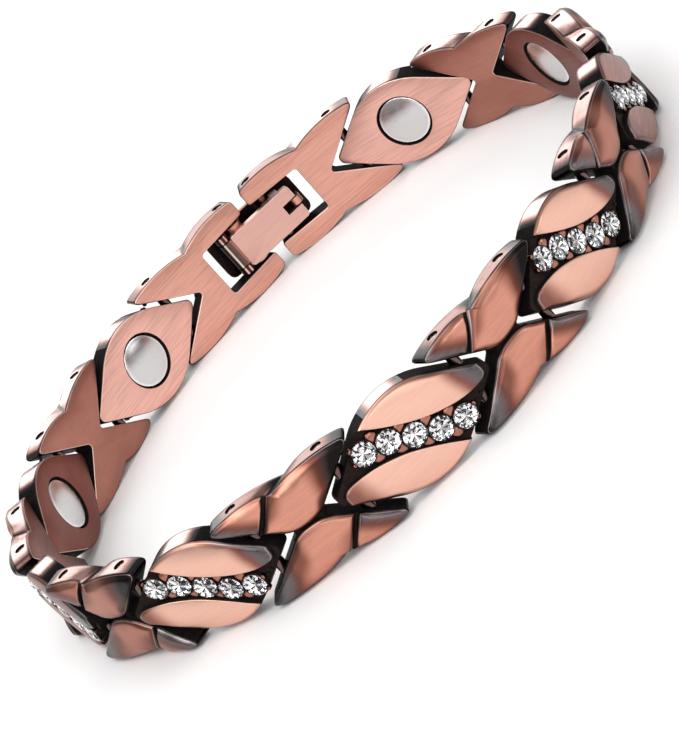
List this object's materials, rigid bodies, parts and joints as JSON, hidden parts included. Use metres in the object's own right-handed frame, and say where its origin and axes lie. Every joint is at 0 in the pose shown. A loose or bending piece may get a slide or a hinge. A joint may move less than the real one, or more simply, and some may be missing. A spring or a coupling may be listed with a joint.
{
  "type": "magnetic bracelet",
  "caption": "Link bracelet of leaf links with crystal rows and inner magnets, joined by cross links, with a fold-over clasp.",
  "frame": {"origin": "middle of the loop's box, on the surface that the bracelet lies on", "axes": "+Z along the loop's axis, up from the surface; +Y to the clasp"},
  "size_m": [0.0634, 0.0652, 0.0084],
  "materials": {
    "leaf_copper": "antiqued brushed copper, dark in the recesses",
    "cross_copper": "antiqued brushed copper, dark at tips and grooves",
    "clasp_copper": "brushed copper",
    "magnet": "satin nickel",
    "crystal": "clear cut crystal",
    "pin": "polished copper"
  },
  "bodies": {
    "bracelet": {"leaf_1": "leaf_copper", "leaf_2": "leaf_copper", "leaf_3": "leaf_copper", "leaf_4": "leaf_copper", "leaf_5": "leaf_copper", "leaf_6": "leaf_copper", "leaf_7": "leaf_copper", "leaf_8": "leaf_copper", "leaf_9": "leaf_copper", "cross_1": "cross_copper", "cross_2": "cross_copper", "cross_3": "cross_copper", "cross_4": "cross_copper", "cross_5": "cross_copper", "cross_6": "cross_copper", "cross_7": "cross_copper", "cross_8": "cross_copper", "clasp_link_first": "cross_copper", "clasp_link_last": "cross_copper", "magnet_1": "magnet", "magnet_2": "magnet", "magnet_3": "magnet", "magnet_4": "magnet", "magnet_5": "magnet", "magnet_6": "magnet", "magnet_7": "magnet", "magnet_8": "magnet", "magnet_9": "magnet", "stones_1": "crystal", "stones_2": "crystal", "stones_3": "crystal", "stones_4": "crystal", "stones_5": "crystal", "stones_6": "crystal", "stones_7": "crystal", "stones_8": "crystal", "stones_9": "crystal", "link_pin_1": "pin", "link_pin_2": "pin", "link_pin_3": "pin", "link_pin_4": "pin", "link_pin_5": "pin", "link_pin_6": "pin", "link_pin_7": "pin", "link_pin_8": "pin", "link_pin_9": "pin", "link_pin_10": "pin", "link_pin_11": "pin", "link_pin_12": "pin", "link_pin_13": "pin", "link_pin_14": "pin", "link_pin_15": "pin", "link_pin_16": "pin", "link_pin_17": "pin", "link_pin_18": "pin", "clasp_base": "clasp_copper", "clasp_pin_first": "pin", "clasp_pin_last": "pin", "clasp_hinge_pin": "pin"},
    "lid": {"clasp_lid": "clasp_copper"}
  },
  "joints": [
    {"name": "lid_hinge", "type": "hinge", "parent": "bracelet", "child": "lid", "pos_m": [-0.00313, 0.02994, 0.0042], "axis": [0, 0, -1], "range_deg": [0, 115]}
  ]
}
